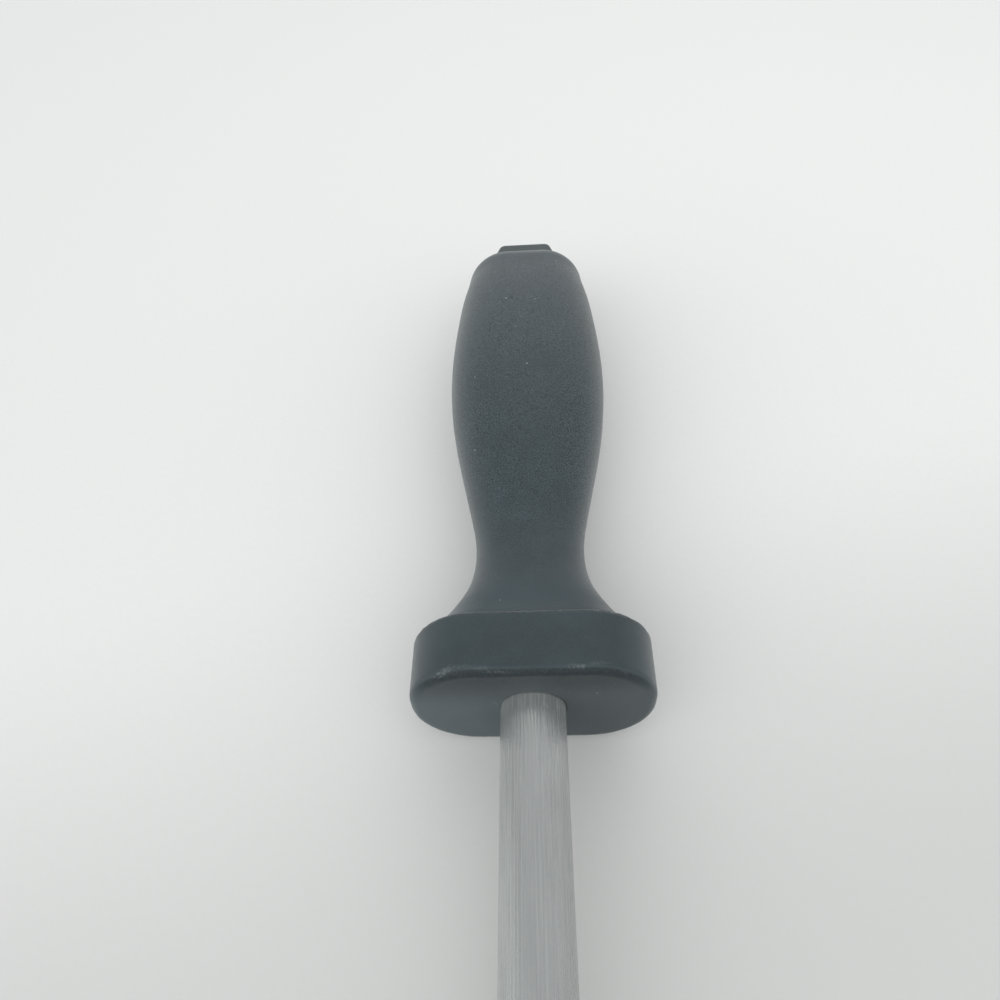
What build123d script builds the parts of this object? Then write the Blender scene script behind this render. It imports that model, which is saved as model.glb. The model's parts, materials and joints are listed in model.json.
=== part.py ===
from build123d import *
from math import asin, atan, cos, hypot, pi, sin
import os

# Honing steel: a ribbed steel rod held in a one-piece plastic handle. Sizes are in millimetres.
# It lies nose down on a surface, on the lower front edge of the guard and the end of the rod.

# Rod, measured from the guard's front face towards the tip
rod_diameter = 10.5
rod_length = 230.0
rib_count = 56
groove_width = 0.42
groove_depth = 0.04
plain_tip_length = 5.0
tip_rounding = 2.0

# Steel inside the handle, depths measured from the guard's front face
shank_depth = 14.0
tang_diameter = 8.0
tang_depth = 78.0
tang_chamfer = 1.0
ring_groove_depths = (34.0, 58.0)
ring_groove_width = 3.0
ring_groove_cut = 0.8

# Narrow gap round the rod where it enters the guard
entry_gap = 0.12
entry_gap_depth = 0.4

# Guard
guard_width = 39.8
guard_height = 23.6
guard_corner = 11.1
guard_thickness = 11.2
guard_front_rounding = 1.5
guard_back_rounding = 0.9

# Grip from the flare to the pommel: distance behind the guard's front face, half width, half thickness
grip_stations = (
    (13.4, 15.9, 10.3),
    (16.0, 13.9, 10.1),
    (21.0, 11.2, 9.6),
    (26.0, 10.05, 9.2),
    (31.5, 9.95, 9.1),
    (40.0, 11.25, 9.8),
    (50.5, 13.4, 11.1),
    (61.0, 15.35, 12.1),
    (72.0, 16.5, 12.6),
    (84.0, 16.7, 12.7),
    (97.0, 16.0, 12.2),
    (106.0, 15.1, 11.4),
)
grip_corner_share = 0.92

# Pommel end: the grip rounds over to a small flat in quarter-circle steps
pommel_half_width = 14.1
pommel_half_thickness = 10.7
pommel_depth = 120.4
pommel_rounding = 7.6
pommel_steps = 6

# Hanging lug, a flat plate standing out of the pommel, its sides drawn in near the end
lug_root_depth = 114.0
lug_shoulder_depth = 127.9
lug_depth = 131.3
lug_width = 14.7
lug_end_width = 12.6
lug_thickness = 5.0
lug_corner = 1.7
lug_edge_rounding = 0.7
hole_diameter = 5.0
hole_depth = 123.9
hole_chamfer = 0.5

# How it lies: the nose-down tilt that brings both rounded edges down to the surface
rod_radius = rod_diameter / 2
run = rod_length - tip_rounding + guard_front_rounding
drop = guard_height / 2 - guard_front_rounding - rod_radius + tip_rounding
rounding_step = guard_front_rounding - tip_rounding
tilt = atan(drop / run) + asin(rounding_step / hypot(run, drop))
axis_height = (
    guard_front_rounding
    + (guard_height / 2 - guard_front_rounding) * cos(tilt)
    - guard_front_rounding * sin(tilt)
)

# The origin lies on the surface, midway between the lug's end and the rod's tip
lug_reach = (
    (lug_depth - lug_edge_rounding) * cos(tilt)
    + (lug_thickness / 2 - lug_edge_rounding) * sin(tilt)
    + lug_edge_rounding
)
tip_reach = (
    (rod_length - tip_rounding) * cos(tilt)
    + (rod_radius - tip_rounding) * sin(tilt)
    + tip_rounding
)
guard_place = (tip_reach - lug_reach) / 2

# Guard front face: x to the right, y up, z along the rod towards its tip
front = Plane(
    origin=(0, guard_place, axis_height),
    x_dir=(1, 0, 0),
    z_dir=(0, -cos(tilt), -sin(tilt)),
)


def behind(depth):
    """Section plane at a depth behind the guard's front face."""
    return front.offset(-depth)


# Planes along the axis: one on edge with x towards the tip, one flat with y towards the lug
upright = Plane(origin=front.origin, x_dir=front.z_dir, z_dir=(-1, 0, 0))
level = Plane(origin=front.origin, x_dir=(1, 0, 0), z_dir=front.y_dir)

# Plain steel bar: rod with a rounded tip, shank and tang, turned about one axis
with BuildPart() as plain_bar:
    with BuildSketch(upright):
        with BuildLine():
            CenterArc((rod_length - tip_rounding, rod_radius - tip_rounding), tip_rounding, 0, 90)
            Polyline(
                (rod_length - tip_rounding, rod_radius),
                (-shank_depth, rod_radius),
                (-shank_depth, tang_diameter / 2),
                (-tang_depth + tang_chamfer, tang_diameter / 2),
                (-tang_depth, tang_diameter / 2 - tang_chamfer),
                (-tang_depth, 0),
                (rod_length, 0),
                (rod_length, rod_radius - tip_rounding),
            )
        make_face()
        with Locations([(-depth, tang_diameter / 2) for depth in ring_groove_depths]):
            Rectangle(ring_groove_width, 2 * ring_groove_cut, mode=Mode.SUBTRACT)
    revolve(axis=Axis(front.origin, front.z_dir))

# Steel rod: the bar with fine grooves cut along it, from the bottom of the entry gap to the plain tip
with BuildPart() as steel_rod:
    add(plain_bar.part)
    with BuildSketch(behind(entry_gap_depth)):
        with PolarLocations(rod_radius, rib_count):
            Polygon(
                (-groove_depth, 0),
                (groove_depth, -groove_width),
                (groove_depth, groove_width),
                align=None,
            )
    extrude(amount=entry_gap_depth + rod_length - plain_tip_length, mode=Mode.SUBTRACT)
steel_rod.part.label = "steel_rod"

# Hanging lug with its hole
with BuildPart() as lug:
    with BuildSketch(level):
        with BuildLine():
            Polyline(
                (-lug_width / 2, lug_root_depth),
                (lug_width / 2, lug_root_depth),
                (lug_width / 2, lug_shoulder_depth),
                (lug_end_width / 2, lug_depth),
                (-lug_end_width / 2, lug_depth),
                (-lug_width / 2, lug_shoulder_depth),
                close=True,
            )
        make_face()
        fillet(vertices().sort_by(Axis.Y)[2:], lug_corner)
    extrude(amount=lug_thickness / 2, both=True)
    outline_edges = lug.faces().filter_by(level).edges()
    fillet(outline_edges, lug_edge_rounding)
    with Locations(level.offset(lug_thickness / 2)):
        with Locations((0, hole_depth)):
            Hole(hole_diameter / 2)
    hole_rims = lug.edges().filter_by(GeomType.CIRCLE).filter_by(
        lambda edge: abs(edge.radius - hole_diameter / 2) < hole_chamfer / 2
    )
    chamfer(hole_rims, hole_chamfer)


def grip_section(depth, half_width, half_thickness):
    """One cross-section of the grip, a rounded rectangle at a depth behind the guard's face."""
    with BuildSketch(behind(depth)) as section:
        RectangleRounded(2 * half_width, 2 * half_thickness, grip_corner_share * half_thickness)
    return section.sketch


# Handle: guard, flare, grip, pommel and lug in one moulding, closed round the shank and tang
with BuildPart() as handle:
    with BuildSketch(front):
        RectangleRounded(guard_width, guard_height, guard_corner)
    extrude(amount=-guard_thickness)
    rims = handle.faces().sort_by(Axis.Y)
    fillet(rims[0].edges(), guard_front_rounding)
    fillet(rims[-1].edges(), guard_back_rounding)
    with BuildSketch(behind(guard_thickness)):
        RectangleRounded(
            guard_width - 2 * guard_back_rounding,
            guard_height - 2 * guard_back_rounding,
            guard_corner - guard_back_rounding,
        )
    for depth, half_width, half_thickness in grip_stations:
        add(grip_section(depth, half_width, half_thickness))
    for step in range(pommel_steps + 1):
        turn = step / pommel_steps * pi / 2
        inset = pommel_rounding * (1 - cos(turn))
        depth = pommel_depth - pommel_rounding * (1 - sin(turn))
        add(grip_section(depth, pommel_half_width - inset, pommel_half_thickness - inset))
    loft()
    add(lug.part)
    add(plain_bar.part, mode=Mode.SUBTRACT)
    with BuildSketch(front):
        Circle(rod_radius + entry_gap)
    extrude(amount=-entry_gap_depth, mode=Mode.SUBTRACT)
handle.part.label = "handle"

os.makedirs("parts", exist_ok=True)
export_step(steel_rod.part, "parts/steel_rod.step")
export_step(handle.part, "parts/handle.step")
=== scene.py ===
"""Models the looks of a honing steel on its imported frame: a ribbed steel rod in a black moulded handle."""

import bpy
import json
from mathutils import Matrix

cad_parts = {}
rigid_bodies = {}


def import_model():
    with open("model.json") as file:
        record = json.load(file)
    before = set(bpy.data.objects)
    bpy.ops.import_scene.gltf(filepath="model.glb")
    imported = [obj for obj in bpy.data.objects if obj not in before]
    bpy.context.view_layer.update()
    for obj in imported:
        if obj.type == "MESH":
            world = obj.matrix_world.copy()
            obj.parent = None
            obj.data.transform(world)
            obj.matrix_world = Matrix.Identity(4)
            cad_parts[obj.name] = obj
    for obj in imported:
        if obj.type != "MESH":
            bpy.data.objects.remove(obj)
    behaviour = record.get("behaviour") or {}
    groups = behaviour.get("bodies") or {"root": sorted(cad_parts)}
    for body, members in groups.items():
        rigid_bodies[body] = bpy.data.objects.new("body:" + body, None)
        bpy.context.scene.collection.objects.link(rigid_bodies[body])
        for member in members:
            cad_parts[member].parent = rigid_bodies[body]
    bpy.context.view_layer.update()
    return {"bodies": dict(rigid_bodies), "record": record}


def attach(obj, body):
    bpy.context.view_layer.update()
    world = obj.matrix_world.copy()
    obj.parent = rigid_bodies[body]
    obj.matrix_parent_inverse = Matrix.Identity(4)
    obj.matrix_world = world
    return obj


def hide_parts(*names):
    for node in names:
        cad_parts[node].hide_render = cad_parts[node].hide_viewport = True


bl_info = {
    "name": "Honing steel",
    "version": (1, 0, 0),
    "blender": (4, 5, 0),
    "location": "3D View > Sidebar > Honing steel",
    "description": "Models the ribbed rod, the moulded handle and the table of a honing steel on its packed frame",
    "category": "Object",
}

import json
from math import asin, cos, pi, radians, sin

import bmesh
import bpy
import numpy as np
from bpy.props import FloatProperty, FloatVectorProperty, IntProperty, PointerProperty
from mathutils import Matrix, Vector, noise

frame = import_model()

MM = 0.001
BODY = next(iter(frame["bodies"]))

# The steel's own frame: x across the guard, y behind its front face, z above the rod's axis
guard_mount = next(mount for mount in frame["record"]["mounts"] if mount["name"] == "guard_face")
TILT = asin(-guard_mount["axis"][2])
GUARD_FACE = Vector((0, *guard_mount["pos_m"][1:]))
LYING = Matrix.Translation(GUARD_FACE) @ Matrix.Rotation(TILT, 4, "X")

# Grip from the flare to the pommel, in millimetres: distance behind the guard's face, half width, half thickness
GRIP_STATIONS = (
    (13.4, 15.9, 10.3),
    (16.0, 13.9, 10.1),
    (21.0, 11.2, 9.6),
    (26.0, 10.05, 9.2),
    (31.5, 9.95, 9.1),
    (40.0, 11.25, 9.8),
    (50.5, 13.4, 11.1),
    (61.0, 15.35, 12.1),
    (72.0, 16.5, 12.6),
    (84.0, 16.7, 12.7),
    (97.0, 16.0, 12.2),
    (106.0, 15.1, 11.4),
)
GRIP_CORNER_SHARE = 0.92
POMMEL_STEPS = 6

# Tang inside the handle, in millimetres: the bevel at its end, and its ring grooves' places, width and cut
TANG_CHAMFER = 1
RING_GROOVE_DEPTHS = (34, 58)
RING_GROOVE_WIDTH = 3
RING_GROOVE_CUT = 0.8

# Entry gap, in millimetres: how far its middle is off the axis, and the bevel at its rim
ENTRY_GAP_CENTRE = (0.08, -0.06)
ENTRY_GAP_BEVEL = 0.1

# Wear of the guard's rims: the share of the nick depth on the front and the back rim where no scuff is,
# how far behind the face, in millimetres, the back rim's share starts, and the least wear that counts
FRONT_RIM_WEAR = 0.3
BACK_RIM_WEAR = 1.6
BACK_RIM_START = 6
LEAST_WEAR = 0.02

# Mesh steps round a section: each corner, the long sides above and below, and the short sides
CORNER_STEPS = 36
LONG_SIDE_STEPS = 44
SHORT_SIDE_STEPS = 4

# Mesh steps along the handle: between rings of the grip, and over each rounding of the guard and the lug
GRIP_RING_SPACING = 0.8 * MM
ROUNDING_STEPS = 8

# Edges that turn by more than this angle stay sharp, and no corner of an outline gets a smaller radius than this
SHARP_ANGLE = radians(38)
LEAST_CORNER = 0.05 * MM

# Rings of the guard: along its side, how near they come to a rounding, and their shares of the way over its face
GUARD_SIDE_RINGS = 9
GUARD_RING_MARGIN = 0.3 * MM
GUARD_FACE_SHARES = (0.03, 0.2, 0.4, 0.6, 0.8, 0.97)

# Mesh steps of the lug: along each side of its outline, and the shares of the way from the hole over its face
LUG_SIDE_STEPS = (8, 24, 4, 20, 4, 24)
LUG_FACE_SHARES = (0, 0.08, 0.5, 0.92)

# Mesh steps of the rod: round each rib, between rings along it, and over its tip's rounding,
# and how far out on the tip's flat end the first ring lies, as a share of that end's radius
RIB_STEPS = 12
ROD_RING_SPACING = 3 * MM
TIP_STEPS = 8
TIP_FACE_SHARE = 0.9

# Grooves of the rod: the length in which one becomes deeper or shallower, how far apart two are in the noise,
# and the length in which each runs out at its ends
GROOVE_WANDER = 12 * MM
GROOVE_SHIFT = 7.3
GROOVE_RUN_OUT = 0.5 * MM

# Pale scuffs on the guard's rims and face, in millimetres in the steel's own frame: two ends, reach, strength
SCUFFS = (
    ((-14.2, 0.6, 10.2), (-12.4, 1.2, 11.2), 0.8, 1.0),
    ((-16.6, 0.3, 8.6), (-14.2, 0.6, 10.2), 0.35, 0.7),
    ((-11.6, 1.3, 11.6), (-11.0, 1.2, 11.7), 0.5, 0.8),
    ((-10.2, 1.2, 11.7), (-6.6, 0.9, 11.6), 0.6, 0.35),
    ((-6.4, 0.5, 11.3), (-2.6, 0.4, 11.1), 0.35, 0.45),
    ((6.0, 0.9, 11.7), (8.0, 0.8, 11.7), 0.6, 0.8),
    ((9.0, 1.2, 11.8), (12.0, 1.4, 11.6), 0.5, 0.35),
    ((14.0, 0.5, 10.3), (16.6, 0.6, 9.0), 0.5, 0.35),
    ((-2.4, 10.9, 11.6), (2.4, 10.7, 11.7), 0.5, 0.5),
    ((-6.1, 0.0, 2.4), (-5.6, 0.0, 0.9), 0.35, 1.0),
)

# White specks of dust on the handle, in millimetres in the steel's own frame, and the strength of each
SPECKS = (
    ((-4.15, 93.4, 12.4), 1.0),
    ((2.35, 92.6, 12.4), 0.6),
    ((-1.9, 82.6, 12.7), 0.35),
    ((0.3, 70.3, 12.55), 0.8),
    ((-10.5, 68.5, 10.9), 0.5),
    ((7.7, 110.3, 10.4), 0.6),
    ((-10.2, 50.1, 8.2), 0.6),
    ((10.1, 0.0, 4.6), 0.35),
)
SPECK_RADIUS = 0.13

# Finer dust: cells to the millimetre, the random numbers from which a cell holds a speck,
# the speck's outer and inner edge as a share of a cell, and its strength
SCATTER_DENSITY = 0.42
CHOSEN_CELLS = (0.72, 0.74)
SCATTER_EDGE = (0.045, 0.025)
SCATTER_STRENGTH = 0.45

# Features to the millimetre in the plastic's mottle and in what breaks up the scuffs
MOTTLE_SCALE = 0.11
BREAK_UP_SCALE = 2.8

# Zones of the handle: where each is nothing and where it is full, in millimetres in the steel's own frame
FACE = (0.9, 0.5)
FACE_TOP = (0, 10)
FACE_RIGHT = (-4, 12)
FACE_LEFT = (2, -16)
# The next two zones hold the painted shadow line under the guard's upper rim
RIM_SHADOW_DEPTH = (0.5, 0.15)
RIM_SHADOW_HEIGHT = (9.6, 10.3)
BEHIND_GUARD = (11.1, 11.6)
FLARE = (22, 13)
FLARE_LEFT = (20, -8)
GRIP_START = (12, 50)
GRIP_FAR_END = (70, 92)
GRIP_END = (116, 106)
GRIP_RIGHT_SIDE = (6, 13)
GRIP_LEFT_SIDE = (-8, -14)
LUG = (119.8, 120.6)

# Zones of the rod, given in the same way
# The next zone holds the painted glints by the guard
BY_THE_GUARD = (-2.9, -1.6)
USED_STRETCH = (-8, -35)
# The next two zones hold the painted shade along the rod's right side
SHADED_STRETCH = (-9, -18)
ROD_RIGHT_SIDE = (0.5, 2.5)

# Table: features to the metre in its fleck and cloud, the slant and wander of the line that parts its painted
# shade on the near side from its pale side, and where the pale side is nothing and full, in metres
TABLE_FLECK_SCALE = 900
TABLE_CLOUD_SCALE = 6
TABLE_TONE_SLANT = 0.25
TABLE_TONE_WANDER = 0.01
TABLE_UNSHADED_SIDE = (0, 0.11)

# Broad light from the room: the side that it comes from, its strength, and how narrow it is
ROOM_LIGHT = (
    ((0, 1, 0.3), 1.3, 3),
    ((-1, 0, 0.3), 0.28, 3),
    ((1, 0, 0.3), 0.32, 3),
    ((-1, -1, 0.35), 1.95, 4),
    ((1, -1, 0.35), 1.15, 4),
    ((0, -1, 1), 0.95, 4),
)

# Soft lamps: place, the point that each is aimed at, size across in metres, and power in watts
LAMPS = (
    ((0.15, 0.2, 0.35), (0, 0.1, 0), 0.44, 0.15),
)


def length(name, description, millimetres):
    """A size that the sidebar shows, given here in millimetres."""
    return FloatProperty(
        name=name, description=description, default=millimetres * MM, min=0, unit="LENGTH", precision=5
    )


def share(name, description, default):
    """A plain number from nothing to one that the sidebar shows."""
    return FloatProperty(name=name, description=description, default=default, min=0, max=1, subtype="FACTOR")


def colour(name, description, default):
    """A colour that the sidebar shows."""
    return FloatVectorProperty(name=name, description=description, default=default, size=3, subtype="COLOR")


def slot_colour(slot):
    """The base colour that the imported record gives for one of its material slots."""
    return tuple(next(m for m in frame["record"]["materials"] if m["slot"] == slot)["base_color"])


class RodSettings(bpy.types.PropertyGroup):
    """Sizes and finish of the steel rod and of the tang inside the handle."""

    diameter: length("Diameter", "Across the rod, over its ribs", 10.5)
    reach: length("Length", "From the guard's face to the rod's tip", 230)
    tip_rounding: length("Tip rounding", "Radius at the rim of the tip", 2)
    plain_tip: length("Plain tip", "Stretch at the tip that has no ribs", 5)
    rib_count: IntProperty(name="Ribs", description="Number of ribs round the rod", default=56, min=3)
    groove_width: length("Groove width", "Across each groove between two ribs", 0.42)
    groove_depth: length("Groove depth", "Depth of each groove", 0.04)
    unevenness: share("Unevenness", "How much the grooves differ in depth", 0.3)
    seed: IntProperty(name="Seed", description="Which random set of grooves is used", default=7)
    shank_depth: length("Shank depth", "How far the full bar goes into the handle", 14)
    tang_diameter: length("Tang diameter", "Across the thinner end inside the handle", 8)
    tang_depth: length("Tang depth", "How far the tang goes into the handle", 78)
    steel_colour: colour("Steel", "Colour of the steel", slot_colour("rod_steel"))
    gloss_roughness: share("Roughness", "How blurred the steel's reflections are", 0.165)
    brush_height: length("Brush height", "Height of the fine marks along the steel", 0.07)


class HandleSettings(bpy.types.PropertyGroup):
    """Sizes and finish of the moulded handle."""

    guard_width: length("Guard width", "Across the guard", 39.8)
    guard_height: length("Guard height", "From the guard's lower edge to its upper edge", 23.6)
    guard_corner: length("Guard corner", "Radius of the guard's outline at its corners", 11.1)
    guard_thickness: length("Guard thickness", "Along the rod's axis", 11.2)
    front_rounding: length("Front rounding", "Radius of the guard's front rim", 1.5)
    back_rounding: length("Back rounding", "Radius of the guard's back rim", 0.9)
    entry_gap: length("Entry gap", "Gap round the rod where it enters the guard", 0.12)
    entry_gap_depth: length("Entry gap depth", "How deep that gap is", 0.4)
    pommel_half_width: length("Pommel half width", "Half the pommel's width where it starts to round over", 14.1)
    pommel_half_thickness: length("Pommel half thickness", "Half its thickness there", 10.7)
    pommel_depth: length("Pommel depth", "From the guard's face to the pommel's end", 120.4)
    pommel_rounding: length("Pommel rounding", "Radius at which the pommel rounds over", 7.6)
    lug_width: length("Lug width", "Across the hanging lug", 14.7)
    lug_end_width: length("Lug end width", "Across the lug's end", 12.6)
    lug_thickness: length("Lug thickness", "Through the lug", 5)
    lug_root_depth: length("Lug root", "Where the lug starts inside the pommel", 114)
    lug_shoulder_depth: length("Lug shoulder", "Where the lug's sides draw in", 127.9)
    lug_depth: length("Lug depth", "From the guard's face to the lug's end", 131.3)
    lug_corner: length("Lug corner", "Radius of the lug's outline at its corners", 1.7)
    lug_edge_rounding: length("Lug edge rounding", "Radius of the lug's edges", 0.7)
    hole_diameter: length("Hole diameter", "Across the hanging hole", 5)
    hole_depth: length("Hole depth", "From the guard's face to the middle of the hole", 123.9)
    hole_chamfer: length("Hole chamfer", "Bevel at both rims of the hole", 0.5)
    nick_depth: length("Nick depth", "Depth of the worn places on the guard's rims", 0.16)
    plastic_colour: colour("Plastic", "Colour of the plastic", slot_colour("handle_plastic"))
    # Painted shade: this colour darkens the guard's face below its upper rim and to the right, and the line under
    # that rim
    shade_colour: colour("Shade", "Colour of the plastic where it is grimy under the rim", (0.003, 0.010, 0.013))
    # Colour of the real scuffs; a darker share of it is also the painted light on the lug
    scuff_and_painted_light_colour: colour("Scuffs", "Colour of the scuffed rims", (0.13, 0.15, 0.155))
    dust_colour: colour("Dust", "Colour of the dust specks", (0.62, 0.64, 0.62))
    grain_size: length("Grain size", "Across one pebble of the moulded grain", 0.22)
    grain_height: length("Grain height", "Height of the moulded grain", 0.09)


class StageSettings(bpy.types.PropertyGroup):
    """The table that the steel lies on, the light and the camera."""

    table_colour: colour("Table", "Colour of the table", (0.94, 0.94, 0.93))
    # Painted shade on the table's near side; the flecks take a darker share of it too
    table_shade_colour: colour("Near table", "Colour of the table's near side", (0.72, 0.72, 0.71))
    table_size: FloatProperty(name="Table size", description="Across the table", default=4, unit="LENGTH")
    room_colour: colour("Room", "Colour of the light from the room", (0.985, 1.0, 1.0))
    camera_place: FloatVectorProperty(
        name="Camera place", description="The camera in the steel's own frame", default=(0.00265, -0.0584, 0.1192),
        subtype="TRANSLATION", unit="LENGTH",
    )
    camera_dip: FloatProperty(
        name="Camera dip", description="How far the camera looks down", default=radians(49.19), subtype="ANGLE"
    )
    camera_swing: FloatProperty(
        name="Camera swing", description="How far it looks to the left", default=radians(4.69), subtype="ANGLE"
    )
    camera_roll: FloatProperty(
        name="Camera roll", description="How far it leans to the right", default=radians(-5.41), subtype="ANGLE"
    )
    camera_lens: FloatProperty(
        name="Camera lens", description="Focal length on a 36 mm sensor", default=28.8, unit="CAMERA"
    )


class Socket:
    """One output of a node. Arithmetic on it adds Math nodes to its tree."""

    def __init__(self, tree, output):
        self.tree = tree
        self.output = output

    def out(self, name):
        """Another output of the same node."""
        return Socket(self.tree, self.output.node.outputs[name])

    def __add__(self, other):
        return self.tree.maths("ADD", self, other)

    def __sub__(self, other):
        return self.tree.maths("SUBTRACT", self, other)

    def __mul__(self, other):
        return self.tree.maths("MULTIPLY", self, other)

    def __truediv__(self, other):
        return self.tree.maths("DIVIDE", self, other)

    def __rsub__(self, other):
        return self.tree.maths("SUBTRACT", other, self)

    def __rtruediv__(self, other):
        return self.tree.maths("DIVIDE", other, self)

    def __abs__(self):
        return self.tree.maths("ABSOLUTE", self)

    __radd__ = __add__
    __rmul__ = __mul__

    def at_most(self, other):
        return self.tree.maths("MINIMUM", self, other)

    def at_least(self, other):
        return self.tree.maths("MAXIMUM", self, other)

    def clamped(self):
        return self.at_least(0).at_most(1)

    def ramp(self, low, high):
        """Nothing at low and one at high, with a smooth change between; low may be the larger."""
        settings = {"interpolation_type": "SMOOTHSTEP"}
        values = {"Value": self, "From Min": low, "From Max": high, "To Min": 0, "To Max": 1}
        return self.tree.add("ShaderNodeMapRange", values, settings)


class Tree:
    """A node tree, and the one way in which nodes are added to it."""

    def __init__(self, node_tree):
        self.nodes = node_tree.nodes
        self.links = node_tree.links

    def add(self, kind, values=None, settings=None):
        """A node of a kind, its settings first, then the values or links of its sockets. Gives its first output."""
        node = self.nodes.new(kind)
        for name, value in (settings or {}).items():
            setattr(node, name, value)
        for key, value in (values or {}).items():
            by_name = {socket.name: socket for socket in reversed(node.inputs) if socket.enabled}
            socket = node.inputs[key] if isinstance(key, int) else by_name[key]
            if isinstance(value, Socket):
                self.links.new(value.output, socket)
            else:
                socket.default_value = value
        return Socket(self, next((output for output in node.outputs if output.enabled), None))

    def maths(self, operation, *terms):
        return self.add("ShaderNodeMath", dict(enumerate(terms)), {"operation": operation})

    def vector(self, operation, *terms):
        return self.add("ShaderNodeVectorMath", dict(enumerate(terms)), {"operation": operation})

    def split(self, place):
        """The three parts of a vector."""
        parts = self.add("ShaderNodeSeparateXYZ", {"Vector": place})
        return parts.out("X"), parts.out("Y"), parts.out("Z")

    def join(self, x, y, z):
        return self.add("ShaderNodeCombineXYZ", {"X": x, "Y": y, "Z": z})

    def noise(self, place, scale, detail=2.0, roughness=0.5):
        """Soft noise about a half, at a scale in features to the unit of place."""
        values = {"Vector": place, "Scale": scale, "Detail": detail, "Roughness": roughness}
        return self.add("ShaderNodeTexNoise", values)

    def blend(self, amount, low, high):
        """A colour between two colours."""
        values = {"Factor": amount, "A": low, "B": high}
        return self.add("ShaderNodeMix", values, {"data_type": "RGBA"})


class Finish(Tree):
    """A material's nodes, round one Principled shader."""

    def __init__(self, name):
        self.material = bpy.data.materials.new(name)
        self.material.use_nodes = True
        super().__init__(self.material.node_tree)
        self.nodes.clear()

    def steel_place(self):
        """Place on the steel in millimetres: x across, y behind the guard's face, z above the axis."""
        back = LYING.inverted()
        values = {
            "Vector": self.add("ShaderNodeTexCoord").out("Object"),
            "Location": back.translation / MM,
            "Rotation": back.to_euler(),
            "Scale": (1 / MM,) * 3,
        }
        return self.add("ShaderNodeMapping", values)

    def close(self, values):
        """The Principled shader with its values and links, wired to the output."""
        shader = self.add("ShaderNodeBsdfPrincipled", values)
        self.add("ShaderNodeOutputMaterial", {"Surface": shader})
        return self.material


def rgba(shade, brightness=1.0):
    """A colour as a node's socket takes it, made lighter or darker by a factor."""
    return (*(part * brightness for part in shade), 1)


def near_scuffs(finish, place):
    """How near a place is to the scuffs: nothing beyond the reach of each, and its strength along its middle."""
    near = 0
    for start, end, reach, strength in SCUFFS:
        run = Vector(end) - Vector(start)
        from_start = finish.vector("SUBTRACT", place, start)
        along = (finish.vector("DOT_PRODUCT", from_start, run) / run.length_squared).clamped()
        nearest = finish.add("ShaderNodeVectorMath", {"Vector": run, "Scale": along}, {"operation": "SCALE"})
        away = finish.vector("DISTANCE", from_start, nearest)
        near = (away.ramp(reach, 0) * strength).at_least(near)
    return near


def dust_specks(finish, place):
    """The specks of dust that are placed one by one, and a sparse scatter of finer ones."""
    dusty = 0
    for speck, strength in SPECKS:
        nearness = finish.vector("DISTANCE", place, speck).ramp(SPECK_RADIUS * 1.4, SPECK_RADIUS * 0.6)
        dusty = (nearness * strength).at_least(dusty)
    scatter = finish.add("ShaderNodeTexVoronoi", {"Vector": place, "Scale": SCATTER_DENSITY})
    cell = finish.add("ShaderNodeSeparateColor", {"Color": scatter.out("Color")})
    chosen = cell.out("Red").ramp(*CHOSEN_CELLS)
    return (scatter.ramp(*SCATTER_EDGE) * chosen * SCATTER_STRENGTH).at_least(dusty)


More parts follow.
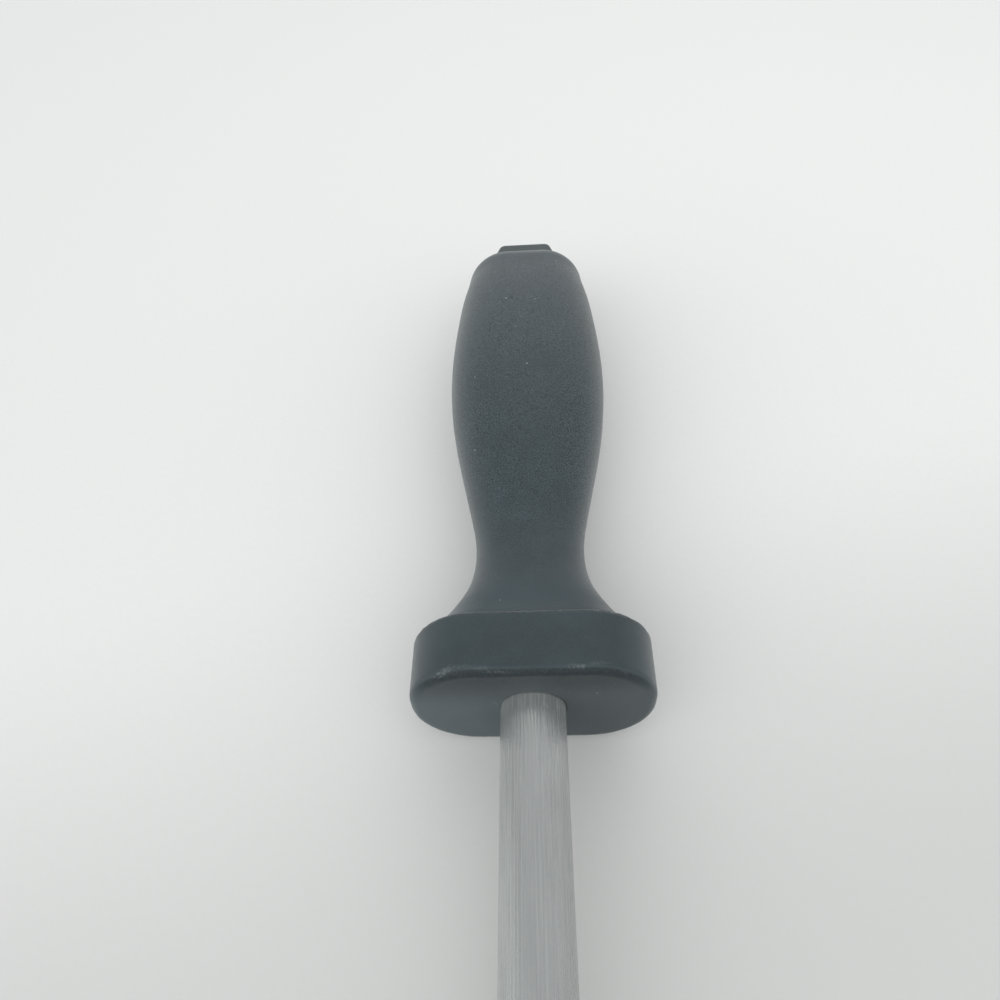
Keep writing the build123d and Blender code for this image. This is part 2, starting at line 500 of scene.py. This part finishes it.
def moulded_plastic(handle):
    """Black moulded plastic: pebbled grain, faint mottle, scuffed guard rims and specks of dust."""
    finish = Finish("moulded_plastic")
    place = finish.steel_place()
    x, y, z = finish.split(place)
    grain_scale = MM / handle.grain_size
    grain = finish.noise(place, grain_scale, detail=2, roughness=0.6)
    fine_grain = finish.noise(place, 2.1 * grain_scale, detail=1)
    mottle = finish.noise(place, MOTTLE_SCALE, detail=3, roughness=0.6)
    broken = finish.noise(place, BREAK_UP_SCALE, detail=4, roughness=0.7)

    # Scuffs are broken up by the noise, and a few faint ones lie all along the guard's rims
    rim = finish.add("ShaderNodeAttribute", settings={"attribute_name": "rim"}).out("Fac")
    rim_scuffs = rim * broken.ramp(0.45, 0.75) * 0.12
    scuffed = (near_scuffs(finish, place) * broken.ramp(0.42, 0.6)).at_least(rim_scuffs)

    # Painted shade: the guard's face is darkened below its upper rim and to the right,
    # and a painted shadow line, broken by noise, runs just under that rim
    on_face = y.ramp(*FACE)
    painted_face_shade = on_face * z.ramp(*FACE_TOP).at_least(x.ramp(*FACE_RIGHT) * 0.45)
    painted_rim_shadow = y.ramp(*RIM_SHADOW_DEPTH) * z.ramp(*RIM_SHADOW_HEIGHT) * (0.3 + broken.ramp(0.6, 0.4) * 0.6)

    # Painted light: the plastic is made paler on the left of the face, on the flare behind the guard and on the lug
    painted_light_face = on_face * x.ramp(*FACE_LEFT) * 0.4
    painted_light_flare = y.ramp(*FLARE) * y.ramp(*BEHIND_GUARD) * x.ramp(*FLARE_LEFT) * 0.8
    on_lug = y.ramp(*LUG)

    # The grain is darker in its pits and paler on its peaks: grain tone, partly painted shade and painted light,
    # strongest on the grip and along its sides, where light grazes, and weakest on the guard and the pommel
    tone_and_shading_boost = mottle.ramp(0.3, 0.7) * 0.4 + y.ramp(*GRIP_FAR_END) * 0.95
    tone_and_shading_boost = tone_and_shading_boost + x.ramp(*GRIP_RIGHT_SIDE) * 1.3 + x.ramp(*GRIP_LEFT_SIDE) * 0.7
    on_grip = y.ramp(*GRIP_START) * y.ramp(*GRIP_END)
    grain_tone_and_shading = on_grip * (0.5 + tone_and_shading_boost) + 0.12 + on_face * 0.08
    pebbles = (grain * 0.6 + fine_grain * 0.4).ramp(0.36, 0.64)
    pit_tone_and_shade = (0.5 - pebbles).at_least(0) * grain_tone_and_shading * 2.2
    peak_tone_and_light = (pebbles - 0.5).at_least(0) * grain_tone_and_shading * 2.2

    plastic = handle.plastic_colour
    body = finish.blend(mottle.ramp(0.3, 0.7), rgba(plastic, 0.98), rgba(plastic, 1.22))
    # Painted light on the left of the guard's face and on the flare
    body = finish.blend(painted_light_face.at_least(painted_light_flare), body, rgba(plastic, 1.65))
    # Painted light: the lug is made paler, as light falls on its top
    body = finish.blend(on_lug * 0.5, body, rgba(handle.scuff_and_painted_light_colour, 0.6))
    # Painted shade on the guard's face and painted shadow line under its upper rim
    body = finish.blend(painted_face_shade.at_least(painted_rim_shadow), body, rgba(handle.shade_colour))
    # Grain tone, partly painted shade in the pits and painted light on the peaks
    body = finish.blend(pit_tone_and_shade, body, rgba(plastic, 0.25))
    body = finish.blend(peak_tone_and_light, body, rgba(plastic, 2.05))
    body = finish.blend(scuffed, body, rgba(handle.scuff_and_painted_light_colour))
    body = finish.blend(dust_specks(finish, place), body, rgba(handle.dust_colour))
    relief = {"Height": grain * 0.75 + fine_grain * 0.25, "Distance": handle.grain_height, "Strength": 1.0}
    return finish.close({
        "Base Color": body,
        "Roughness": 0.44 + grain * 0.1 + scuffed * 0.2,
        "IOR": 1.42,
        "Sheen Weight": 0.32,
        "Sheen Roughness": 0.37,
        "Normal": finish.add("ShaderNodeBump", relief),
    })


def ribbed_steel(rod):
    """Satin steel: painted glints by the guard, painted shade on its right, duller where used, streaks and fine
    marks along it.
    """
    finish = Finish("ribbed_steel")
    x, y, z = finish.split(finish.steel_place())

    def along_the_rod(across, along, detail, roughness=0.5):
        """Noise with that many features to the millimetre across and along the rod."""
        return finish.noise(finish.join(x * across, y * along, z * across), 1, detail, roughness)

    streaks = along_the_rod(1.7, 0.03, detail=3, roughness=0.6)
    patches = along_the_rod(0.3, 0.03, detail=3)
    sparkle = along_the_rod(3, 0.15, detail=1)
    marks = along_the_rod(24, 0.05, detail=1)

    # Painted shade: a darker stripe along the rod's right side; elsewhere random duller patches
    painted_shade_side = x.ramp(*ROD_RIGHT_SIDE) * y.ramp(*SHADED_STRETCH) * patches.ramp(0.2, 0.5) * 0.75
    dull_and_shade = painted_shade_side.at_least(patches.ramp(0.35, 0.7) * 0.5)
    # Painted glints: the steel is made paler in short streaks by the guard
    painted_glints = y.ramp(*BY_THE_GUARD) * sparkle.ramp(0.5, 0.6) * 0.4
    used = y.ramp(*USED_STRETCH)

    steel = rod.steel_colour
    tone = finish.blend(streaks.ramp(0.3, 0.7), rgba(steel, 0.96), rgba(steel))
    tone = finish.blend(dull_and_shade, tone, rgba(steel, 0.82))
    tone = finish.blend(painted_glints, tone, rgba(steel, 1.5))
    relief = {"Height": marks * (1 - used * 0.5), "Distance": rod.brush_height, "Strength": 1.0}
    return finish.close({
        "Base Color": tone,
        "Metallic": 0.74,
        "Roughness": rod.gloss_roughness - 0.03 + streaks * 0.06 + used * 0.1,
        "Normal": finish.add("ShaderNodeBump", relief),
    })


def pale_table(stage):
    """Matt pale board with a faint fleck and painted shade on its near side."""
    finish = Finish("pale_table")
    place = finish.add("ShaderNodeTexCoord").out("Object")
    fleck = finish.noise(place, TABLE_FLECK_SCALE, detail=2)
    cloud = finish.noise(place, TABLE_CLOUD_SCALE, detail=2)
    across, along, _ = finish.split(place)
    # Painted shade: the table darkens towards its near side
    far = (along - across * TABLE_TONE_SLANT + (cloud - 0.5) * TABLE_TONE_WANDER).ramp(*TABLE_UNSHADED_SIDE)
    tone = finish.blend(far, rgba(stage.table_shade_colour), rgba(stage.table_colour))
    tone = finish.blend(fleck.ramp(0.3, 0.7) * 0.03, tone, rgba(stage.table_shade_colour, 0.8))
    return finish.close({"Base Color": tone, "Roughness": 0.7, "Specular IOR Level": 0.3})


def rounded_outline(corners, radii, side_steps, inset=0.0):
    """Points round a convex polygon, anticlockwise, with rounded corners, all of it moved in by the inset.

    Corner i has a radius of radii[i], and the side that follows it has side_steps[i] steps.
    """
    corners = [Vector(corner) for corner in corners]
    arcs = []
    for i, corner in enumerate(corners):
        before = (corner - corners[i - 1]).normalized()
        after = (corners[(i + 1) % len(corners)] - corner).normalized()
        inward = Vector((-before.y, before.x)), Vector((-after.y, after.x))
        centre = corner + (inward[0] + inward[1]) * radii[i] / (1 + inward[0].dot(inward[1]))
        radius = max(radii[i] - inset, LEAST_CORNER)
        middle = -(inward[0] + inward[1]).normalized()
        half_turn = inward[0].angle(inward[1]) / 2
        turns = np.linspace(-half_turn, half_turn, CORNER_STEPS + 1)
        arcs.append([centre + Matrix.Rotation(turn, 2) @ middle * radius for turn in turns])
    points = []
    for arc, after, steps in zip(arcs, arcs[1:] + arcs[:1], side_steps):
        points += arc
        points += [arc[-1].lerp(after[0], step / steps) for step in range(1, steps)]
    return np.array(points)


def rounded_rectangle(half_width, half_height, corner, inset=0.0):
    """Outline of a section of the handle, moved in by the inset."""
    right, top = half_width, half_height
    corners = (right, top), (-right, top), (-right, -top), (right, -top)
    side_steps = (LONG_SIDE_STEPS, SHORT_SIDE_STEPS) * 2
    return rounded_outline(corners, [corner] * 4, side_steps, inset)


def circle_facing(outline, radius, centre=(0, 0)):
    """Points on a circle, each in line with one point of an outline seen from the circle's centre."""
    away = outline - np.array(centre)
    return np.array(centre) + radius * away / np.linalg.norm(away, axis=1)[:, None]


def ring(outline, depth):
    """An outline set across the axis, at a depth behind the guard's face."""
    return np.column_stack((outline[:, 0], np.full(len(outline), depth), outline[:, 1]))


def smooth_through(stations, spacing):
    """Rows on a natural cubic spline through the stations, evenly spaced by the distance along it."""
    stations = np.array(stations)
    steps = np.linalg.norm(np.diff(stations[:, :3], axis=0), axis=1)
    at = np.concatenate(([0], np.cumsum(steps)))
    system = np.eye(len(at))
    bends = np.zeros_like(stations)
    for i in range(1, len(at) - 1):
        before, after = steps[i - 1], steps[i]
        system[i, i - 1 : i + 2] = before, 2 * (before + after), after
        bends[i] = 6 * ((stations[i + 1] - stations[i]) / after - (stations[i] - stations[i - 1]) / before)
    bends = np.linalg.solve(system, bends)
    rows = []
    for where in np.linspace(0, at[-1], round(at[-1] / spacing) + 1):
        i = min(np.searchsorted(at, where, side="right") - 1, len(steps) - 1)
        step = steps[i]
        a, b = (at[i + 1] - where) / step, (where - at[i]) / step
        curve = ((a**3 - a) * bends[i] + (b**3 - b) * bends[i + 1]) * step**2 / 6
        rows.append(a * stations[i] + b * stations[i + 1] + curve)
    return rows


def skin(name, rings, loop=False):
    """A closed mesh over rings of equal length, in a loop or in a run with both ends drawn to a point."""
    count = len(rings[0])
    points = np.concatenate(rings)
    around = np.arange(count)
    faces = []
    last = len(rings) if loop else len(rings) - 1
    for i in range(last):
        near, far = i * count, (i + 1) % len(rings) * count
        faces += [(near + j, near + k, far + k, far + j) for j, k in zip(around, np.roll(around, -1))]
    if not loop:
        points = np.vstack((points, rings[0].mean(axis=0), rings[-1].mean(axis=0)))
        first_end, last_end, start = len(points) - 2, len(points) - 1, len(rings) * count - count
        faces += [(first_end, k, j) for j, k in zip(around, np.roll(around, -1))]
        faces += [(last_end, start + j, start + k) for j, k in zip(around, np.roll(around, -1))]
    mesh = bpy.data.meshes.new(name)
    mesh.from_pydata(points.tolist(), [], [tuple(int(v) for v in face) for face in faces])
    shell = bmesh.new()
    shell.from_mesh(mesh)
    bmesh.ops.recalc_face_normals(shell, faces=shell.faces)
    shell.to_mesh(mesh)
    shell.free()
    piece = bpy.data.objects.new(name, mesh)
    bpy.context.scene.collection.objects.link(piece)
    return piece


def apply_modifiers(piece):
    """Turns what a piece's modifiers make into its own plain mesh."""
    evaluated = piece.evaluated_get(bpy.context.evaluated_depsgraph_get())
    mesh = bpy.data.meshes.new_from_object(evaluated)
    piece.modifiers.clear()
    piece.data = mesh


def fit(piece, node):
    """Lays a finished piece where its node lies, smooths it up to its sharp edges and ties it to the frame."""
    piece.data.transform(LYING)
    piece.data.shade_smooth()
    piece.data.set_sharp_from_angle(angle=SHARP_ANGLE)
    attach(piece, BODY)
    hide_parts(node)


def tang_profile(rod):
    """Depth and radius along the steel inside the handle, from the end of the shank to the end of the tang."""
    radius, chamfer = rod.tang_diameter / 2, TANG_CHAMFER * MM
    groove_cut, groove_half = RING_GROOVE_CUT * MM, RING_GROOVE_WIDTH / 2 * MM
    profile = [(rod.shank_depth, rod.diameter / 2), (rod.shank_depth, radius)]
    for middle in (depth * MM for depth in RING_GROOVE_DEPTHS):
        profile += [
            (middle - groove_half, radius),
            (middle - groove_half, radius - groove_cut),
            (middle + groove_half, radius - groove_cut),
            (middle + groove_half, radius),
        ]
    return profile + [(rod.tang_depth - chamfer, radius), (rod.tang_depth, radius - chamfer)]


def rod_profile(rod, last):
    """Depth and radius along the rod outside the handle, from its tip to the last depth."""
    radius, rounding = rod.diameter / 2, rod.tip_rounding
    profile = [(-rod.reach, TIP_FACE_SHARE * (radius - rounding))]
    for step in range(TIP_STEPS + 1):
        turn = pi / 2 * (1 - step / TIP_STEPS)
        profile.append((-rod.reach + rounding * (1 - sin(turn)), radius - rounding * (1 - cos(turn))))
    start = -rod.reach + rod.plain_tip
    count = round((last - start) / ROD_RING_SPACING)
    return profile + [(depth, radius) for depth in np.linspace(start, last, count + 1)]


def rib_group():
    """Geometry Nodes that press evenly spaced grooves along a bar lying on the Y axis."""
    group = bpy.data.node_groups.new("press_ribs", "GeometryNodeTree")
    inputs = {
        "Bar": "Geometry", "Ribs": "Int", "Bar radius": "Float", "Groove width": "Float",
        "Groove depth": "Float", "First": "Float", "Last": "Float", "Run out": "Float",
        "Unevenness": "Float", "Seed": "Int", "Steel": "Material",
    }
    for name, kind in inputs.items():
        group.interface.new_socket(name, in_out="INPUT", socket_type="NodeSocket" + kind)
    group.interface.new_socket("Ribbed bar", in_out="OUTPUT", socket_type="NodeSocketGeometry")
    tree = Tree(group)
    given = tree.add("NodeGroupInput")
    x, y, z = tree.split(tree.add("GeometryNodeInputPosition"))

    # Which groove a point is in, and how far it is from the groove's bottom line
    turn = tree.maths("ARCTAN2", x, z) / (2 * pi) * given.out("Ribs")
    groove = tree.maths("FLOOR", turn)
    pitch = 2 * pi * given.out("Bar radius") / given.out("Ribs")
    away = abs(turn - groove - 0.5) * pitch
    dip = (1 - away / (given.out("Groove width") / 2)).clamped()

    # Each groove has its own depth, which wanders a little along the bar
    own = {"Min": -1.0, "Max": 1.0, "ID": groove, "Seed": given.out("Seed")}
    own_depth = tree.add("FunctionNodeRandomValue", own, {"data_type": "FLOAT"})
    wander = tree.noise(tree.join(groove * GROOVE_SHIFT, y / GROOVE_WANDER, given.out("Seed")), 1) - 0.5
    uneven = 1 + given.out("Unevenness") * (own_depth * 0.5 + wander)
    run_out = given.out("Run out")
    ribbed = ((y - given.out("First")) / run_out).at_most((given.out("Last") - y) / run_out).clamped()
    press = dip * given.out("Groove depth") * uneven * ribbed / given.out("Bar radius")
    moved = {"Geometry": given.out("Bar"), "Offset": tree.join(0 - x * press, 0, 0 - z * press)}
    bar = tree.add("GeometryNodeSetPosition", moved)
    bar = tree.add("GeometryNodeRealizeInstances", {"Geometry": bar})
    bar = tree.add("GeometryNodeSetMaterial", {"Geometry": bar, "Material": given.out("Steel")})
    tree.add("NodeGroupOutput", {"Ribbed bar": bar})
    return group


def guard_rings(handle):
    """Rings over the guard, from its front face to where the flare starts, each with its share of wear."""
    half_width, half_height, corner = handle.guard_width / 2, handle.guard_height / 2, handle.guard_corner
    front, back = handle.front_rounding, handle.back_rounding

    def outline(inset):
        return rounded_rectangle(half_width, half_height, corner, inset)

    rings = []
    for step in range(ROUNDING_STEPS + 1):
        turn = pi / 2 * step / ROUNDING_STEPS
        rings.append((ring(outline(front * (1 - sin(turn))), front * (1 - cos(turn))), sin(2 * turn)))
    first, last = front + GUARD_RING_MARGIN, handle.guard_thickness - back - GUARD_RING_MARGIN
    rings += [(ring(outline(0), depth), 0) for depth in np.linspace(first, last, GUARD_SIDE_RINGS)]
    for step in range(ROUNDING_STEPS + 1):
        turn = pi / 2 * step / ROUNDING_STEPS
        depth = handle.guard_thickness - back * (1 - sin(turn))
        rings.append((ring(outline(back * (1 - cos(turn))), depth), sin(2 * turn)))
    return rings


def grip_rings(handle):
    """Rings from just behind the guard to the pommel's end."""
    inset = handle.back_rounding
    half_width, half_height = handle.guard_width / 2 - inset, handle.guard_height / 2 - inset
    stations = [(handle.guard_thickness, half_width, half_height, handle.guard_corner - inset)]
    for depth, width, thickness in GRIP_STATIONS:
        stations.append((depth * MM, width * MM, thickness * MM, GRIP_CORNER_SHARE * thickness * MM))
    for step in range(POMMEL_STEPS + 1):
        turn = step / POMMEL_STEPS * pi / 2
        inset = handle.pommel_rounding * (1 - cos(turn))
        depth = handle.pommel_depth - handle.pommel_rounding * (1 - sin(turn))
        thickness = handle.pommel_half_thickness - inset
        stations.append((depth, handle.pommel_half_width - inset, thickness, GRIP_CORNER_SHARE * thickness))
    rows = smooth_through(stations, GRIP_RING_SPACING)[1:]
    return [ring(rounded_rectangle(*row[1:]), row[0]) for row in rows]


def socket_rings(handle, rod, outline):
    """Rings from the bottom of the socket that holds the steel, through the entry gap, over the guard's face."""
    gap_radius, bevel = rod.diameter / 2 + handle.entry_gap, ENTRY_GAP_BEVEL * MM
    gap_centre = [offset * MM for offset in ENTRY_GAP_CENTRE]
    profile = tang_profile(rod)[::-1] + [(handle.entry_gap_depth, rod.diameter / 2)]
    rings = [ring(circle_facing(outline, radius), depth) for depth, radius in profile]
    mouth = (handle.entry_gap_depth, gap_radius), (bevel, gap_radius), (0, gap_radius + bevel)
    rings += [ring(circle_facing(outline, radius, gap_centre), depth) for depth, radius in mouth]
    rim = rings[-1]
    edge = ring(outline, 0)
    return rings + [rim + (edge - rim) * part for part in GUARD_FACE_SHARES]


def nick_rims(piece, nick_depth):
    """Sinks the worn places of the guard's rims, on the front rim most where the scuffs are."""
    rim = piece.data.attributes["rim"].data
    for vertex in piece.data.vertices:
        worn = rim[vertex.index].value
        if worn < LEAST_WEAR:
            continue
        here = vertex.co / MM
        nearness = BACK_RIM_WEAR if here.y > BACK_RIM_START else FRONT_RIM_WEAR
        for start, end, reach, strength in SCUFFS:
            start, run = Vector(start), Vector(end) - Vector(start)
            along = min(max((here - start).dot(run) / run.length_squared, 0), 1)
            away = (here - start - run * along).length
            nearness = max(nearness, strength * (1 - away / (2 * reach)))
        rough = max(noise.noise(here * 1.1) + 0.55 * noise.noise(here * 2.7) + 0.1, 0)
        vertex.co -= vertex.normal * nick_depth * worn * nearness * rough


def lug_piece(handle):
    """The hanging lug as a closed plate with rounded edges and a bevelled hole."""
    half, end_half = handle.lug_width / 2, handle.lug_end_width / 2
    root, shoulder, depth = handle.lug_root_depth, handle.lug_shoulder_depth, handle.lug_depth
    corners = (
        (-half, root), (half, root), (half, shoulder),
        (end_half, depth), (-end_half, depth), (-half, shoulder),
    )
    edge, corner = handle.lug_edge_rounding, handle.lug_corner
    radii = (edge, edge, corner, corner, corner, corner)
    half_thickness, hole = handle.lug_thickness / 2, handle.hole_diameter / 2
    chamfer, centre = handle.hole_chamfer, (0, handle.hole_depth)

    def plan(inset):
        return rounded_outline(corners, radii, LUG_SIDE_STEPS, inset)

    def level(points, height):
        return np.column_stack((points, np.full(len(points), height)))

    face = plan(edge)
    rim = circle_facing(face, hole + chamfer, centre)
    upper = [level(circle_facing(face, hole, centre), half_thickness - chamfer)]
    upper += [level(rim + (face - rim) * part, half_thickness) for part in LUG_FACE_SHARES]
    for step in range(ROUNDING_STEPS + 1):
        turn = pi / 2 * step / ROUNDING_STEPS
        height = half_thickness - edge * (1 - cos(turn))
        upper.append(level(plan(edge * (1 - sin(turn))), height))
    lower = [points * (1, 1, -1) for points in upper[::-1]]
    return skin("hanging_lug", upper + lower, loop=True)


class HONING_OT_handle(bpy.types.Operator):
    """Model the moulded handle: guard, flare, grip, pommel and hanging lug in one piece"""

    bl_idname = "honing.handle"
    bl_label = "Handle"

    def execute(self, context):
        handle, rod = context.scene.honing_handle, context.scene.honing_rod
        guard = guard_rings(handle)
        face_outline = guard[0][0][:, [0, 2]]
        socket = socket_rings(handle, rod, face_outline)
        grip = grip_rings(handle)
        rings = socket + [points for points, wear in guard] + grip
        wear = [0] * len(socket) + [wear for points, wear in guard] + [0] * len(grip)
        piece = skin("moulded_handle", rings)
        rim = np.append(np.repeat(wear, len(rings[0])), (0, 0))
        piece.data.attributes.new("rim", "FLOAT", "POINT").data.foreach_set("value", rim.astype(np.float32))
        nick_rims(piece, handle.nick_depth)
        lug = lug_piece(handle)
        union = piece.modifiers.new("lug", "BOOLEAN")
        union.operation = "UNION"
        union.solver = "EXACT"
        union.object = lug
        apply_modifiers(piece)
        bpy.data.objects.remove(lug)
        piece.data.materials.clear()
        piece.data.materials.append(moulded_plastic(handle))
        fit(piece, "handle")
        return {"FINISHED"}


class HONING_OT_rod(bpy.types.Operator):
    """Model the steel rod with its ribs, shank and tang"""

    bl_idname = "honing.rod"
    bl_label = "Rod"

    def execute(self, context):
        handle, rod = context.scene.honing_handle, context.scene.honing_rod
        profile = rod_profile(rod, handle.entry_gap_depth) + tang_profile(rod)
        columns = rod.rib_count * RIB_STEPS
        turns = np.arange(columns) * 2 * pi / columns
        unit = np.column_stack((np.cos(turns), np.sin(turns)))
        piece = skin("ribbed_rod", [ring(unit * radius, depth) for depth, radius in profile])
        ribs = piece.modifiers.new("ribs", "NODES")
        ribs.node_group = rib_group()
        values = {
            "Ribs": rod.rib_count,
            "Bar radius": rod.diameter / 2,
            "Groove width": rod.groove_width,
            "Groove depth": rod.groove_depth,
            "First": -rod.reach + rod.plain_tip,
            "Last": handle.entry_gap_depth,
            "Run out": GROOVE_RUN_OUT,
            "Unevenness": rod.unevenness,
            "Seed": rod.seed,
            "Steel": ribbed_steel(rod),
        }
        for item in ribs.node_group.interface.items_tree:
            if item.name in values:
                ribs[item.identifier] = values[item.name]
        apply_modifiers(piece)
        fit(piece, "steel_rod")
        return {"FINISHED"}


class HONING_OT_stage(bpy.types.Operator):
    """Lay the pale table, hang the soft lights and set the camera"""

    bl_idname = "honing.stage"
    bl_label = "Stage"

    def execute(self, context):
        stage = context.scene.honing_stage
        half = stage.table_size / 2
        mesh = bpy.data.meshes.new("table")
        corners = (-half, -half, 0), (half, -half, 0), (half, half, 0), (-half, half, 0)
        mesh.from_pydata(corners, [], [(0, 1, 2, 3)])
        mesh.materials.append(pale_table(stage))
        table = bpy.data.objects.new("table", mesh)
        context.scene.collection.objects.link(table)

        world = bpy.data.worlds.new("room")
        context.scene.world = world
        world.use_nodes = True
        world.node_tree.nodes.clear()
        room = Tree(world.node_tree)
        direction = room.add("ShaderNodeTexCoord").out("Generated")
        strength = 0
        for side, brightness, narrowness in ROOM_LIGHT:
            facing = room.vector("DOT_PRODUCT", direction, Vector(side).normalized()).at_least(0)
            strength = room.maths("POWER", facing, narrowness) * brightness + strength
        light = room.add("ShaderNodeBackground", {"Color": rgba(stage.room_colour), "Strength": strength})
        room.add("ShaderNodeOutputWorld", {"Surface": light})

        for place, aim, size, power in LAMPS:
            bulb = bpy.data.lights.new("soft_lamp", "AREA")
            bulb.shape = "SQUARE"
            bulb.size = size
            bulb.energy = power
            lamp = bpy.data.objects.new("soft_lamp", bulb)
            lamp.location = place
            lamp.rotation_euler = (Vector(aim) - Vector(place)).to_track_quat("-Z", "Y").to_euler()
            context.scene.collection.objects.link(lamp)

        lens = bpy.data.cameras.new("camera")
        lens.lens = stage.camera_lens
        lens.clip_start = 5 * MM
        camera = bpy.data.objects.new("camera", lens)
        aim = Matrix.Rotation(stage.camera_swing, 4, "Z") @ Matrix.Rotation(pi / 2 - stage.camera_dip, 4, "X")
        lean = Matrix.Rotation(stage.camera_roll, 4, "Z")
        camera.matrix_world = LYING @ Matrix.Translation(stage.camera_place) @ aim @ lean
        context.scene.collection.objects.link(camera)
        context.scene.camera = camera
        context.scene.view_settings.view_transform = "Standard"
        return {"FINISHED"}


class HONING_PT_sidebar(bpy.types.Panel):
    """Lists the pieces of the honing steel"""

    bl_idname = "HONING_PT_sidebar"
    bl_label = "Honing steel"
    bl_space_type = "VIEW_3D"
    bl_region_type = "UI"
    bl_category = "Honing steel"

    def draw(self, context):
        for operator in OPERATORS:
            self.layout.operator(operator.bl_idname)


SETTINGS = {"honing_rod": RodSettings, "honing_handle": HandleSettings, "honing_stage": StageSettings}
OPERATORS = (HONING_OT_handle, HONING_OT_rod, HONING_OT_stage)
CLASSES = (*SETTINGS.values(), *OPERATORS, HONING_PT_sidebar)


def register():
    for cls in CLASSES:
        bpy.utils.register_class(cls)
    for name, settings in SETTINGS.items():
        setattr(bpy.types.Scene, name, PointerProperty(type=settings))


def unregister():
    for name in SETTINGS:
        delattr(bpy.types.Scene, name)
    for cls in reversed(CLASSES):
        bpy.utils.unregister_class(cls)


def main():
    """Builds every piece and the stage."""
    register()
    bpy.ops.honing.handle()
    bpy.ops.honing.rod()
    bpy.ops.honing.stage()


if __name__ == "__main__":
    main()
